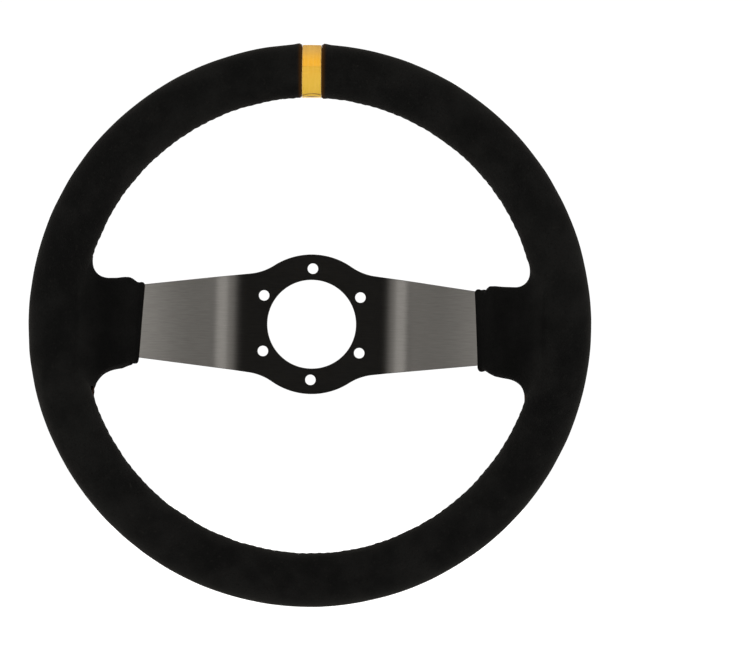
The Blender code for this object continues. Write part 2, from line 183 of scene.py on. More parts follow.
def piece_from(name, verts, faces, materials, face_materials=None, smooth_angle=None, attributes=None):
    """A mesh object from arrays. attributes holds one number per point under each name."""
    mesh = bpy.data.meshes.new(name)
    mesh.from_pydata([tuple(v) for v in verts], [], [tuple(int(i) for i in f) for f in faces])
    mesh.update()
    mesh.shade_smooth()
    if smooth_angle is not None:
        mesh.set_sharp_from_angle(angle=math.radians(smooth_angle))
    for material in materials:
        mesh.materials.append(material)
    if face_materials is not None:
        mesh.polygons.foreach_set("material_index", np.asarray(face_materials, np.int32))
    for key, values in (attributes or {}).items():
        layer = mesh.attributes.new(key, "FLOAT", "POINT")
        layer.data.foreach_set("value", np.asarray(values, np.float32))
    return add_object(name, mesh)


def quads(rows, columns, close_columns=False, start=0):
    """Faces of a grid of points stored row by row."""
    across = np.arange(columns if close_columns else columns - 1)
    row, b = np.meshgrid(np.arange(rows - 1) * columns, across, indexing="ij")
    n = (b + 1) % columns
    below = row + columns
    return (start + np.stack([row + b, row + n, below + n, below + b], -1)).reshape(-1, 4)


def border_of(rows, columns):
    """Point numbers round the edge of a grid, in order."""
    top = list(range(columns))
    right = [r * columns + columns - 1 for r in range(1, rows)]
    bottom = [(rows - 1) * columns + i for i in range(columns - 2, -1, -1)]
    left = [r * columns for r in range(rows - 2, 0, -1)]
    return top + right + bottom + left


# ---- The suede's surface: the rim's ring with a sleeve running into it at each spoke, blended smoothly.


def rim_field(p):
    """Distance outside the grip, which is a ring with an oval section."""
    rho = np.hypot(p[..., 0], p[..., 2])
    u = rho - GRIP_RADIUS
    v = p[..., 1] - RIM_CENTRE_Y
    a, b = GRIP_RADIAL / 2, GRIP_AXIAL / 2
    k1 = np.sqrt((u / a) ** 2 + (v / b) ** 2)
    k2 = np.sqrt((u / a**2) ** 2 + (v / b**2) ** 2)
    return k1 * (k1 - 1) / np.maximum(k2, 1e-9)


# Each edge of each sleeve, as seen from the front: how wide the hem is, where the padding lifts the suede,
# how far, how that edge then runs, and how round the corner is where it meets the rim. Lengths in mm.
EDGES = {
    ("left", "up"): dict(hem=24.0, start=2.5, end=9.0, step=2.8, slope=-0.03, bump=0.5, corner=18.0),
    ("left", "down"): dict(hem=25.6, start=0.0, end=10.5, step=3.9, slope=0.17, bump=0.0, corner=23.0),
    ("right", "up"): dict(hem=24.1, start=6.2, end=8.9, step=2.3, slope=0.0, bump=0.3, corner=16.0),
    ("right", "down"): dict(hem=25.8, start=2.3, end=12.8, step=3.6, slope=0.15, bump=0.0, corner=17.0),
}
FACES = dict(hem=3.0, start=0.5, end=14.0, step=3.3)  # and the same for its front and back
FRONT_CORNER = 5 * MM  # how round it is where a sleeve's front meets the rim
REAR_CORNER = 12 * MM  # and where its back does
SLEEVE_CORNER = 5 * MM
SLEEVE_INSIDE = 150 * MM  # a sleeve ends at this x, inside the rim


def pick(p, key):
    """The value that belongs to each point's side and edge, blended across the middle of the spoke."""
    up = smoothstep(p[..., 2], -12 * MM, 12 * MM)
    right = p[..., 0] > 0
    upper = np.where(right, EDGES["right", "up"][key], EDGES["left", "up"][key])
    lower = np.where(right, EDGES["right", "down"][key], EDGES["left", "down"][key])
    return lower + (upper - lower) * up


def sleeve_place(p):
    """(distance from the axis along the spoke, distance behind the spoke's middle) of each point."""
    x = np.abs(p[..., 0]) - SLOPE_START
    y = p[..., 1] - SLOPE_START_Y
    along = x * math.cos(SLOPE) - y * math.sin(SLOPE)
    off = x * math.sin(SLOPE) + y * math.cos(SLOPE)
    return SLOPE_START + along * math.cos(SLOPE), off


def sleeve_end(side):
    """Where a sleeve's hem lies on the spoke, for the side -1 or 1."""
    return SLEEVE_END - RIGHT_REACH * (side > 0)


def from_sleeve(x, off, z, side):
    """The point at a place along a spoke and off behind its middle."""
    y = SLOPE_START_Y - (x - SLOPE_START) * math.tan(SLOPE) + off * math.cos(SLOPE)
    return np.stack([side * (x + off * math.sin(SLOPE)), y, z], -1)


def sleeve_half_sizes(p, x):
    """Half width and half thickness of the sleeve's suede at each point, in metres."""
    after = x - sleeve_end(np.sign(p[..., 0]))
    from_end = (after + p[..., 2] * math.tan(SLEEVE_END_LEAN) * np.clip(1 - after / LEAN_FADES, 0, 1)) / MM
    rise = smoothstep(from_end, pick(p, "start"), pick(p, "end"))
    beyond = np.maximum(from_end - pick(p, "end"), 0)
    bump = pick(p, "bump") * np.exp(-(((from_end - pick(p, "end")) / 3.0) ** 2))
    wide = pick(p, "hem") + pick(p, "step") * rise + pick(p, "slope") * beyond + bump
    thick = FACES["hem"] + FACES["step"] * smoothstep(from_end, FACES["start"], FACES["end"]) + 0.05 * beyond
    return wide * MM, thick * MM


def sleeve_field(p):
    x, off = sleeve_place(p)
    wide, thick = sleeve_half_sizes(p, x)
    corner = np.minimum(SLEEVE_CORNER, 0.75 * thick)
    qz = np.abs(p[..., 2]) - (wide - corner)
    qo = np.abs(off) - (thick - corner)
    box = np.hypot(np.maximum(qz, 0), np.maximum(qo, 0)) + np.minimum(np.maximum(qz, qo), 0) - corner
    return np.maximum(box, (x - SLEEVE_INSIDE) / math.cos(SLOPE))


def suede_field(p):
    """Distance outside the suede, where the rim and the sleeves blend."""
    a, b = rim_field(p), sleeve_field(p)
    off = sleeve_place(p)[1]
    face = FRONT_CORNER + (REAR_CORNER - FRONT_CORNER) * smoothstep(off, -4 * MM, 4 * MM)
    edge = smoothstep(np.abs(p[..., 2]), 8 * MM, 22 * MM) * (1 - smoothstep(np.abs(off), 4 * MM, 9 * MM))
    k = face + (pick(p, "corner") * MM - face) * edge
    h = np.maximum(k - np.abs(a - b), 0) / k
    return np.minimum(a, b) - h * h * k / 4


def gradient(field, p):
    step = 1e-5
    out = np.empty_like(p)
    for i in range(3):
        d = np.zeros(3)
        d[i] = step
        out[..., i] = (field(p + d) - field(p - d)) / (2 * step)
    return out


def settle(field, p, depth=0.0, rounds=10):
    """Moves points along the field's slope until they lie at a depth under its surface."""
    for _ in range(rounds):
        g = gradient(field, p)
        size = np.maximum((g**2).sum(-1), 0.05)
        p = p - g * ((field(p) + depth) / size)[..., None]
    return p


def outward(field, p):
    g = gradient(field, p)
    return g / np.maximum(np.linalg.norm(g, axis=-1), 1e-9)[..., None]


def on_grip(phi, theta, inset=0.0):
    """Points on the plain ring. theta 0 faces the axis and 90 degrees faces back."""
    rho = GRIP_RADIUS - (GRIP_RADIAL / 2 - inset) * np.cos(theta)
    y = RIM_CENTRE_Y + (GRIP_AXIAL / 2 - inset) * np.sin(theta)
    return np.stack([rho * np.cos(phi), y, rho * np.sin(phi)], -1)


# The curve on the rim where each sleeve's suede meets the rim's: a rounded oblong round the spoke.
MOUTH_HALF = math.radians(16.5)
MOUTH_THETA = math.radians(50.0)
MOUTH_POWER = 3.2
MOUTH_STEPS = 48  # for a quarter of it


def mouth(share):
    """(phi, theta) at a share of a quarter of the mouth, from the middle of its long side to its end."""
    alpha = np.linspace(math.pi / 2, 0, 1001)
    phi = MOUTH_HALF * np.abs(np.cos(alpha)) ** (2 / MOUTH_POWER)
    theta = MOUTH_THETA * np.abs(np.sin(alpha)) ** (2 / MOUTH_POWER)
    steps = np.hypot(np.diff(phi) * (GRIP_RADIUS - GRIP_RADIAL / 2), np.diff(theta) * GRIP_AXIAL / 2)
    run = np.concatenate([[0], np.cumsum(steps)])
    return np.interp(share * run[-1], run, phi), np.interp(share * run[-1], run, theta)


# ---- Suede.

LIP = math.radians(0.4)  # from the seam's line to the lip behind it, as an angle round the grip
RIM_STEP = math.radians(0.44)  # between rows of points round the rim
RIM_COLUMNS = 57  # of points across the strip
STRAIGHTENS = 25 * MM  # from the marker to where rows of points are radial
SLEEVE_RUN = 27 * MM  # from its hem to where it turns into the rim
SLEEVE_ROWS = 74
SLEEVE_QUARTER = 29 * MM  # a quarter of the way round a sleeve
SLEEVE_OBLONG = (25 * MM, 4 * MM, 2.5 * MM)  # half sizes and corner that it settles from
SLEEVE_LIP = 0.006  # half of the gap in a sleeve's seam, as a share of a quarter of the way round
SLEEVE_PITCH = 4.6 * MM
SLEEVE_FIRST = 0.5  # how far the first stitch is from the hem, in stitches
PAD_DEPTH = 1.4 * MM  # the foam's surface under the suede's
PAD_START = 113 * MM
PAD_ROWS = 60
CLEARANCE = 0.3 * MM
NAP = 0.25 * MM  # the suede's pile stands this far off the nominal surface
STITCH_PITCH = 5.2 * MM
STITCH_REACH = 0.13  # from the seam to a stitch hole, as an angle round the grip
STITCH_DEPTH = 0.55 * MM  # of its ends under the grip's surface
RIM_THREAD, MARKER_THREAD, SLEEVE_THREAD = 0.38 * MM, 0.28 * MM, 0.42 * MM  # radii
SLEEVE_STITCHES = 7
SHARP_ANGLE = 62  # degrees between two faces of a sharp edge
SEAM_RADIUS = GRIP_RADIUS - GRIP_RADIAL / 2 * math.cos(SEAM_BACK)


def skin(name, outer, inner, materials, attributes, plain_rows=()):
    """A closed shell from two grids. Its cut edges take the second material, but not on plain_rows."""
    rows, columns = outer.shape[:2]
    half = rows * columns
    verts = np.concatenate([outer.reshape(-1, 3), inner.reshape(-1, 3)])
    faces = list(quads(rows, columns))
    faces += [face[::-1] for face in quads(rows, columns, start=half)]
    kinds = [0] * len(faces)
    edge = border_of(rows, columns)
    for first, second in zip(edge, edge[1:] + edge[:1]):
        faces.append((second, first, first + half, second + half))
        plain = first // columns in plain_rows and second // columns in plain_rows
        kinds.append(0 if plain else 1)
    both = {key: np.concatenate([value.ravel(), value.ravel()]) for key, value in attributes.items()}
    return piece_from(name, verts, faces, materials, kinds, SHARP_ANGLE, both)


def stitch_wave(phi):
    """From 0 between stitches to 1 at a stitch, along the rim's closing seam."""
    return 0.5 + 0.5 * np.cos(2 * math.pi * phi * SEAM_RADIUS / STITCH_PITCH)


def drape(base):
    """How the suede lies unevenly over the foam."""
    return 0.16 * MM * noise(base, 34 * MM, 1) + 0.10 * MM * noise(base, 11 * MM, 2)


def falls(distance, width):
    """A bell from 1 at no distance to nearly 0 beyond a width."""
    return np.exp(-((distance / width) ** 2))


def rolled(distance, width):
    """How far a cut edge has rolled under: 1 at the edge and 0 beyond a width."""
    return np.maximum(1 - distance / width, 0) ** 2


def beside_marker(phi, theta, edge):
    """Angles moved so that lines beside the marker stay straight and don't converge."""
    away = phi - MARKER_ANGLE
    side = np.where(np.mod(away, 2 * math.pi) < math.pi, 1, -1)
    radius = GRIP_RADIUS - GRIP_RADIAL / 2 * np.cos(theta)
    return phi + side * edge * (GRIP_RADIUS / radius - 1)


def rim_cover(materials):
    """One long strip of suede, wrapped round the rim and closed by a seam on its inner side."""
    edge = (MARKER_WIDTH / 2 + 0.15 * MM) / GRIP_RADIUS
    first, last = MARKER_ANGLE + edge, MARKER_ANGLE - edge + 2 * math.pi
    # At each spoke the strip is cut out along the mouth, and its rows start at the mouth's own points.
    share = np.abs(np.linspace(-1, 1, 2 * MOUTH_STEPS + 1))
    phi_cut, opening_cut = mouth(share)
    phi_cut[:MOUTH_STEPS] *= -1
    phi_even = np.linspace(-MOUTH_HALF, MOUTH_HALF, len(share))

    def plain(start, end):
        phi = np.linspace(start, end, max(2, round((end - start) / RIM_STEP)) + 1)[1:-1]
        return phi, phi, 0 * phi

    stretches = [plain(first - RIM_STEP, math.pi - MOUTH_HALF)]
    for middle, next_start in ((math.pi, 2 * math.pi - MOUTH_HALF), (2 * math.pi, last + RIM_STEP)):
        stretches.append((middle + phi_cut, middle + phi_even, opening_cut))
        stretches.append(plain(middle + MOUTH_HALF, next_start))
    at_lips, far, opening = (np.concatenate(parts) for parts in zip(*stretches))

    # Across the strip, the points gather at both lips.
    share = np.linspace(0, 1, RIM_COLUMNS)
    share = share - 0.115 * np.sin(2 * math.pi * share)
    # The front lip lies on the grip's innermost line.
    low = np.maximum(opening, SEAM_BACK + LIP)[:, None]
    high = 2 * math.pi - opening[:, None]
    theta = low + (high - low) * share
    inward = smoothstep(np.minimum(share, 1 - share), 0.0, 0.22)
    phi = at_lips[:, None] * (1 - inward) + far[:, None] * inward
    from_marker = np.minimum(phi - first, last - phi) * GRIP_RADIUS
    away = smoothstep(from_marker, 0, STRAIGHTENS)
    phi = beside_marker(phi, theta, edge) * (1 - away) + phi * away
    base = settle(suede_field, on_grip(phi, theta))
    normal = outward(suede_field, base)

    at_lip = np.minimum(theta - low, high - theta) * GRIP_AXIAL / 2
    sewn = (opening < SEAM_BACK + LIP)[:, None] + 0 * theta

    # Each stitch pulls the lips down, and the suede bulges between the stitches, not all to one height.
    near_seam = falls(at_lip, 3.0 * MM) * sewn
    bulge = 0.45 + 0.40 * noise(base, 13 * MM, 3) + 0.25 * noise(base, 5 * MM, 7)
    pull = stitch_wave(phi) * (0.55 + 0.45 * noise(base, 9 * MM, 4))
    lift = drape(base) + near_seam * (0.42 * MM * bulge - 0.50 * MM * pull)
    lift = lift + 0.16 * MM * falls(at_lip, 7 * MM) * sewn * noise(base, 5 * MM, 5)
    # The suede rolls over beside the marker, and stands a little proud of it away from the seam.
    facing_out = 0.5 - 0.5 * np.cos(theta)
    lift = lift + 0.50 * MM * facing_out * falls(from_marker - 1.6 * MM, 2.2 * MM)
    roll_lip = rolled(at_lip, 0.8 * MM) * sewn
    roll_marker = rolled(from_marker, 0.7 * MM)
    lift = np.maximum(lift - 0.75 * MM * np.maximum(roll_lip, roll_marker), -0.85 * MM) + NAP
    outer = base + normal * lift[..., None]
    inner = settle(suede_field, base - normal * SUEDE_THICK, SUEDE_THICK, 4)

    frayed = 0.35 * near_seam * np.clip(noise(base, 2.2 * MM, 6) + 0.25, 0, 1)
    # Beside the marker the rolled cut edge's brown is partly its real leather and partly painted glow from
    # the yellow band.
    raw = np.maximum(np.maximum(0.7 * roll_lip, 0.85 * roll_marker), frayed)
    # Painted glow: the suede beside the marker is tinted orange-brown, standing in for light thrown onto it
    # by the yellow band.
    attributes = {"raw": raw, "stain_and_painted_glow": falls(from_marker, 1.35 * MM)}
    mouth_rows = set(np.nonzero(opening > SEAM_BACK + LIP)[0])
    return skin("suede_rim_cover", outer, inner, materials, attributes, plain_rows=mouth_rows)


def oblong(share, wide, thick, corner):
    """(across, off) along a quarter of a rounded oblong, from the middle of its long side to its end."""
    flat, bend = wide - corner, corner * math.pi / 2
    run = share * (flat + bend + thick - corner)
    turn = np.clip((run - flat) / corner, 0, math.pi / 2)
    across = np.minimum(run, flat) + corner * np.sin(turn)
    off = thick - corner * (1 - np.cos(turn)) - np.maximum(run - flat - bend, 0)
    return across, off


def quarters(turn):
    """(share of a quarter, 1 above or -1 below, 1 behind or -1 in front) at each place round a spoke."""
    share = 1 - np.abs(1 - turn % 2)
    return share, np.where(turn < 2, 1, -1), np.where((turn < 1) | (turn > 3), 1, -1)


def sleeve_grid(side, rows, depth=0.0, seam=0.0):
    """A sleeve's surface as a grid, from its hem to its mouth, at a depth under the suede's own.

    Its columns start behind the middle of the spoke, go over its upper edge and leave twice seam open.
    """
    turn = np.linspace(0, 4, 4 * MOUTH_STEPS + 1)
    turn[0] += seam
    turn[-1] -= seam
    share, upper, behind = quarters(turn)
    share[-1] = seam
    phi, theta = mouth(share)
    phi = upper * phi if side > 0 else math.pi - upper * phi
    rim_end = settle(suede_field, on_grip(phi, behind * theta), depth)

    along = np.linspace(0, 1, rows)
    along = (along - 0.09 * np.sin(2 * math.pi * along))[:, None]
    x = sleeve_end(side) + along * SLEEVE_RUN
    across, off = oblong(share, *SLEEVE_OBLONG)
    across, off = upper * across, behind * off
    lean = np.clip(1 - (x - sleeve_end(side)) / LEAN_FADES, 0, 1) * math.tan(SLEEVE_END_LEAN)
    place = settle(sleeve_field, from_sleeve(x - lean * across, off + 0 * x, across + 0 * x, side), depth)
    merge = smoothstep(along, 0.35, 1.0)[..., None]
    base = settle(suede_field, place * (1 - merge) + rim_end * merge, depth)
    return base, x - sleeve_end(side) + 0 * across, turn + 0 * x


def sleeve(side, name, materials):
    """The suede round one spoke, from its hem on the metal to its mouth on the rim."""
    base, from_hem, turn = sleeve_grid(side, SLEEVE_ROWS, seam=SLEEVE_LIP)
    normal = outward(suede_field, base)
    at_lip = (np.minimum(turn, 4 - turn) - SLEEVE_LIP) * SLEEVE_QUARTER
    # The suede is uneven near the spoke's upper and lower edges.
    at_edge = falls(np.abs(np.abs(turn - 2) - 1) * SLEEVE_QUARTER, 4.5 * MM)
    near_hem = falls(from_hem, 8 * MM)
    lumps = 0.50 * MM * noise(base, 4.5 * MM, 13) + 0.34 * MM * noise(base, 1.8 * MM, 14)
    tip = 0.7 * MM * falls(from_hem - 0.8 * MM, 1.1 * MM) * smoothstep(-base[..., 2], 15 * MM, 24 * MM)
    lift = drape(base) + at_edge * (near_hem * lumps + tip)
    near_seam = falls(at_lip, 2.6 * MM)
    wave = 0.5 + 0.5 * np.cos(2 * math.pi * (from_hem / SLEEVE_PITCH - SLEEVE_FIRST))
    lift = lift + near_seam * (0.25 - 0.5 * wave) * MM * (from_hem < 30 * MM)
    # The hem is pressed down a little where it is glued, 3.6 mm from its end.
    lift = lift - 0.08 * MM * falls(from_hem - 3.6 * MM, 1.2 * MM)
    roll = np.maximum(rolled(from_hem, 0.9 * MM), rolled(at_lip, 0.8 * MM))
    lift = np.maximum(lift - 0.7 * MM * roll, -0.8 * MM) + NAP
    outer = base + normal * lift[..., None]
    inner = settle(suede_field, base - normal * SUEDE_THICK, SUEDE_THICK, 4)
    # The sleeves carry a painted-shade mask, 1 from the hem most of the way and 0 at the mouth, which darkens
    # their colour and lessens their sheen.
    attributes = {"raw": 0.8 * roll, "painted_sleeve_shade": 1 - smoothstep(from_hem, 0.62 * SLEEVE_RUN, SLEEVE_RUN)}
    if side < 0:
        outer, inner = outer[:, ::-1], inner[:, ::-1]
        attributes = {key: value[:, ::-1] for key, value in attributes.items()}
    return skin(name, outer, inner, materials, attributes, plain_rows=(SLEEVE_ROWS - 1,))


def spoke_pad(side, name, material):
    """The foam between a sleeve and the plate: a tube round the plate that ends on the grip's own foam."""
    outer, from_hem, turn = sleeve_grid(side, PAD_ROWS, PAD_DEPTH)
    keep = from_hem[:, 0] >= PAD_START - sleeve_end(side)
    outer = off_core(outer[keep, :-1])
    rows = list(outer)
    share, upper, behind = quarters(turn[0, :-1])

    def inner_ring(at):
        half = SPOKE_HALF_AT_AXIS - SPOKE_TAPER * at + CLEARANCE
        across, away = oblong(share, half, PLATE_THICK / 2 + CLEARANCE, 0.3 * MM)
        return off_plate(side * at + 0 * across, behind * away, upper * across)

    stations = np.linspace(PAD_START, GRIP_RADIUS - GRIP_RADIAL / 2, 24)
    inside = [off_core(inner_ring(at)) for at in stations]
    for i in range(1, 5):
        rows.append(off_core(outer[-1] * (1 - i / 5) + inside[-1] * (i / 5)))
    rows += inside[::-1]
    # The last row joins the first.
    verts = np.concatenate(rows)
    faces = list(quads(len(rows) + 1, len(share), close_columns=True) % len(verts))
    if side < 0:
        faces = [face[::-1] for face in faces]
    return piece_from(name, verts, faces, [material])


def off_core(points):
    """Points pushed out of the grip's foam, with the clearance that pieces keep."""
    depth = PAD_DEPTH - CLEARANCE
    inside = rim_field(points) < -depth
    out = settle(rim_field, points, depth)
    return np.where(inside[..., None], out, points)


# Places on the marker, in degrees round the grip: 180 is the rim's outermost line and 270 its front.
FIRST_CREASE, SECOND_CREASE = 260.5, 270.5
UPPER_FOLD, LOWER_FOLD = 331, 347
MARKER_GRID = (33, 301)  # points across and round
MARKER_TRIM = 0.12 * MM  # off each side of the band
MARKER_DEPTHS = (0.35 * MM, 1.0 * MM)  # of its faces under the grip's surface


def marker_band(materials):
    """The yellow band at the top centre: a straight strip round the grip, gathered where it is sewn."""
    half = MARKER_WIDTH / 2 - MARKER_TRIM
    aside = np.linspace(-1, 1, MARKER_GRID[0])
    theta = np.linspace(SEAM_BACK + 1.5 * LIP, SEAM_BACK + 2 * math.pi - 1.5 * LIP, MARKER_GRID[1])
    aside, theta = np.meshgrid(aside, theta, indexing="ij")
    radius = GRIP_RADIUS - GRIP_RADIAL / 2 * np.cos(theta)
    phi = MARKER_ANGLE + aside * half / radius
    base = on_grip(phi, theta, MARKER_DEPTHS[0])
    normal = outward(rim_field, base)
    turn = np.degrees(theta)
    lift = 0.05 * MM * noise(base, 6 * MM, 21)
    # Two slack creases cross the front.
    wander = noise(base, 6 * MM, 22)
    first, second = turn - FIRST_CREASE - wander, turn - SECOND_CREASE - wander
    for crease, deep in ((first, 0.14), (second, 0.08)):
        lift = lift + MM * (0.6 * deep * falls(crease - 4, 3.0) - deep * falls(crease, 1.4))
    # Near its sewn end the band gathers into an eye-shaped fold, and its end turns under, paler.
    upper = turn - (UPPER_FOLD + 7.0 * aside**2 + 2.4 * noise(base, 3.4 * MM, 23))
    lower = turn - (LOWER_FOLD - 3.0 * aside**2 + 1.6 * noise(base, 3.0 * MM, 24))
    lift = lift - 0.40 * MM * falls(upper, 2.0) + 0.28 * MM * falls(upper - 7, 4.0)
    lift = lift - 0.45 * MM * falls(lower, 2.6) + 0.20 * MM * falls(lower - 8, 4.0)
    lift = lift + 0.45 * MM * smoothstep(turn, 335, 357)
    edge = np.maximum(1 - (1 - np.abs(aside)) * half / (0.5 * MM), 0)
    lift = lift - 0.25 * MM * edge**2
    outer = base + normal * lift[..., None]
    inner = on_grip(phi, theta, MARKER_DEPTHS[1])
    broken = 0.75 + 0.6 * noise(base, 2.5 * MM, 25)
    # Painted shade: a mask that darkens the band's colour in its folds and creases.
    painted_fold_shade = np.maximum(falls(upper, 2.8) * broken, 1.1 * falls(lower, 3.4) * (1 - 0.6 * aside**2))
    crease_shade = np.maximum(0.32 * falls(first, 1.6), 0.24 * falls(second, 1.3) * (0.6 - 0.4 * aside))
    attributes = {
        "raw": np.clip(edge, 0, 1),
        "painted_fold_shade": np.clip(np.maximum(painted_fold_shade, crease_shade), 0, 1),
        "round": np.clip((turn - 200) / 150, 0, 1),
    }
    return skin("marker_band", outer, inner, materials, attributes)


# ---- Thread.


def stitch(start, end, up, radius, steps=8, sides=7):
    """One stitch: a short arched tube from hole to hole, with rounded ends that sink into the suede."""
    start, end, up = Vector(start), Vector(end), Vector(up)
    along = end - start
    rings = []
    for i in range(steps + 1):
        t = i / steps
        bow = math.sin(math.pi * t)
        centre = start + along * t + up * (bow**0.7) * radius * 1.5
        thick = radius * (0.45 + 0.55 * min(1.0, 4.0 * min(t, 1 - t)))
        forward = (along.normalized() + up * 1.2 * math.cos(math.pi * t)).normalized()
        aside = forward.cross(up).normalized()
        over = aside.cross(forward).normalized()
        ring = []
        for j in range(sides):
            a = 2 * math.pi * j / sides + t * 1.5
            ring.append(centre + aside * (thick * math.cos(a)) + over * (0.8 * thick * math.sin(a)))
        rings.append(ring)
    return rings


def stitches(name, rows, material):
    verts, faces = [], []
    for rings in rows:
        start = len(verts)
        sides = len(rings[0])
        verts += [point for ring in rings for point in ring]
        faces += list(quads(len(rings), sides, close_columns=True, start=start))
        faces.append(tuple(range(start, start + sides))[::-1])
        last = start + (len(rings) - 1) * sides
        faces.append(tuple(range(last, last + sides)))
    return piece_from(name, verts, faces, [material])


def rim_stitches(name, phi_start, phi_end, material, radius):
    """Whip stitches along the rim's closing seam between two angles, at the puckers of the suede."""
    low, high = sorted((phi_start, phi_end))
    turn = STITCH_PITCH / SEAM_RADIUS
    first, last = math.ceil(low / turn + 0.2), math.floor(high / turn - 0.2)
    rows = []
    for number in range(first, last + 1):
        phi = number * turn
        wobble = 0.12 * float(noise(np.array([phi * 40.0, 3.0, 7.0]), 1.0, 31))
        lean = 0.16 + 0.05 * wobble
        ends = []
        for sign in (-1, 1):
            along = phi + sign * lean * turn * 1.2
            ends.append(on_grip(along, SEAM_BACK + sign * STITCH_REACH, STITCH_DEPTH))
        up = outward(rim_field, on_grip(phi, SEAM_BACK))
        rows.append(stitch(*ends, up, radius))
    return stitches(name, rows, material)


def sleeve_stitches(name, side, material):
    """Whip stitches along a sleeve's seam, behind the spoke."""

    def spot(x, z, depth):
        """A point behind the spoke, at a depth under the suede."""
        return settle(suede_field, from_sleeve(x, 6 * MM, z, side), depth, 12)

    rows = []
    for number in range(SLEEVE_STITCHES):
        x = sleeve_end(side) + (SLEEVE_FIRST + number) * SLEEVE_PITCH
        ends = [spot(x + sign * 0.7 * MM, sign * 1.7 * MM, 0.45 * MM) for sign in (-1, 1)]
        rows.append(stitch(*ends, outward(suede_field, spot(x, 0.0, 0)), SLEEVE_THREAD))
    return stitches(name, rows, material)


# ---- The pressed plate.

EDGE_ROUND = 0.18 * MM
BEND_SLICE = 0.7 * MM  # how finely the bends are cut
RIVET_PITCH = 12 * MM
RIVET_HOLE = 4.6 * MM


def plate_quarter(grow, hub_steps=48):
    """The upper right quarter of the plan, from the top of the hub to the end of the tab."""
    hub = HUB_DIAMETER / 2 + grow
    fillet = HUB_FILLET - grow
    edge_angle = math.atan(SPOKE_TAPER)
    edge_at_axis = SPOKE_HALF_AT_AXIS + grow / math.cos(edge_angle)
    rise = edge_at_axis + fillet / math.cos(edge_angle)
    a = 1 + SPOKE_TAPER**2
    b = -2 * SPOKE_TAPER * rise
    c = rise**2 - (hub + fillet) ** 2
    x = (-b + math.sqrt(b * b - 4 * a * c)) / (2 * a)
    centre = (x, rise - SPOKE_TAPER * x)
    towards_hub = math.atan2(centre[1], centre[0])
    hub_arc = arc((0, 0), hub, math.pi / 2, towards_hub, hub_steps)
    fillet_arc = arc(centre, fillet, towards_hub - math.pi, -math.pi / 2 - edge_angle, hub_steps // 2)
    end = TAB_END + grow
    radius = TAB_CORNER + grow
    corner = (end - radius, edge_at_axis - SPOKE_TAPER * end - radius)
    return hub_arc + fillet_arc[1:] + arc(corner, radius, math.pi / 2 - edge_angle, 0, 8)


def plate_outline(grow):
    quarter = plate_quarter(grow)
    right = quarter + [(x, -z) for x, z in reversed(quarter[:-1])]
    return right + [(-x, z) for x, z in reversed(right[1:-1])]


def plate_holes(grow):
    """The outlines of the centre hole, the bolt holes and the rivet holes."""
    holes = [(0, 0, CENTRE_HOLE, 144)]
    for i in range(6):
        a = math.radians(90 + 60 * i)
        holes.append((BOLT_CIRCLE / 2 * math.cos(a), BOLT_CIRCLE / 2 * math.sin(a), BOLT_HOLE, 56))
    for side in (-1, 1):
        for i in (-1, 0, 1):
            z = i * RIVET_PITCH
            holes.append((side * math.sqrt(GRIP_RADIUS**2 - z * z), z, RIVET_HOLE, 24))
    return [arc((x, z), size / 2 + grow, 0, 2 * math.pi, steps)[:-1] for x, z, size, steps in holes]


def pressed_plate(material):
    """The plate with its edges rounded, cut flat and then pressed into the dish."""
    half = PLATE_THICK / 2
    angles = [i * math.pi / 8 for i in range(5)]
    front = [(EDGE_ROUND * (1 - math.sin(a)), -half + EDGE_ROUND * (1 - math.cos(a))) for a in angles]
    levels = front + [(inset, -y) for inset, y in reversed(front)]
    bm = bmesh.new()
    rings_of = []
    for kind in range(1 + len(plate_holes(0))):
        rings = []
        for inset, y in levels:
            line = plate_outline(-inset) if kind == 0 else plate_holes(inset)[kind - 1]
            rings.append([bm.verts.new((x, y, z)) for x, z in line])
        rings_of.append(rings)
        for first, second in zip(rings, rings[1:]):
            for i in range(len(first)):
                j = (i + 1) % len(first)
                bm.faces.new((first[i], first[j], second[j], second[i]))
    for level in (0, -1):
        edges = []
        for rings in rings_of:
            ring = rings[level]
            edges += [bm.edges.get(pair) for pair in zip(ring, ring[1:] + ring[:1])]
        bmesh.ops.triangle_fill(bm, edges=edges, use_beauty=True)
    bmesh.ops.recalc_face_normals(bm, faces=bm.faces)
    for bend_start, bend_end in ((BEND_START, SLOPE_START), (SLOPE_END, TAB_START)):
        start, end = bend_start - BEND_EASE, bend_end + BEND_EASE
        count = math.ceil((end - start) / BEND_SLICE)
        for i in range(count + 1):
            for side in (-1, 1):
                everything = bm.verts[:] + bm.edges[:] + bm.faces[:]
                place = (side * (start + (end - start) * i / count), 0, 0)
                bmesh.ops.bisect_plane(bm, geom=everything, plane_co=place, plane_no=(1, 0, 0), dist=1e-7)
    bmesh.ops.triangulate(bm, faces=[f for f in bm.faces if len(f.verts) > 4])
    mesh = bpy.data.meshes.new("pressed_plate")
    bm.to_mesh(mesh)
    bm.free()
    flat = np.array([v.co for v in mesh.vertices])
    placed = off_plate(flat[:, 0], flat[:, 1], flat[:, 2])
    mesh.vertices.foreach_set("co", placed.ravel())
    mesh.update()
    mesh.shade_smooth()
    mesh.materials.append(material)
    # The brushing runs along the plate as it was before pressing.
    x = np.abs(flat[:, 0])
    bend = BEND_INNER * np.arcsin(np.clip((x - BEND_START) / BEND_INNER, 0, math.sin(SLOPE)))
    run = np.minimum(x, BEND_START) + bend + np.maximum(x - SLOPE_START, 0) / math.cos(SLOPE)
    uv = np.stack([np.sign(flat[:, 0]) * run, flat[:, 2]], -1)
    layer = mesh.uv_layers.new(name="Brush")
    corner = np.empty(len(mesh.loops), np.int32)
    mesh.loops.foreach_get("vertex_index", corner)
    layer.data.foreach_set("uv", uv.astype(np.float32)[corner].ravel())
    obj = add_object("pressed_plate", mesh)
    weighted = obj.modifiers.new("flat_faces", "WEIGHTED_NORMAL")
    weighted.mode = "FACE_AREA"
    weighted.weight = 80
    return obj


# ---- Materials.


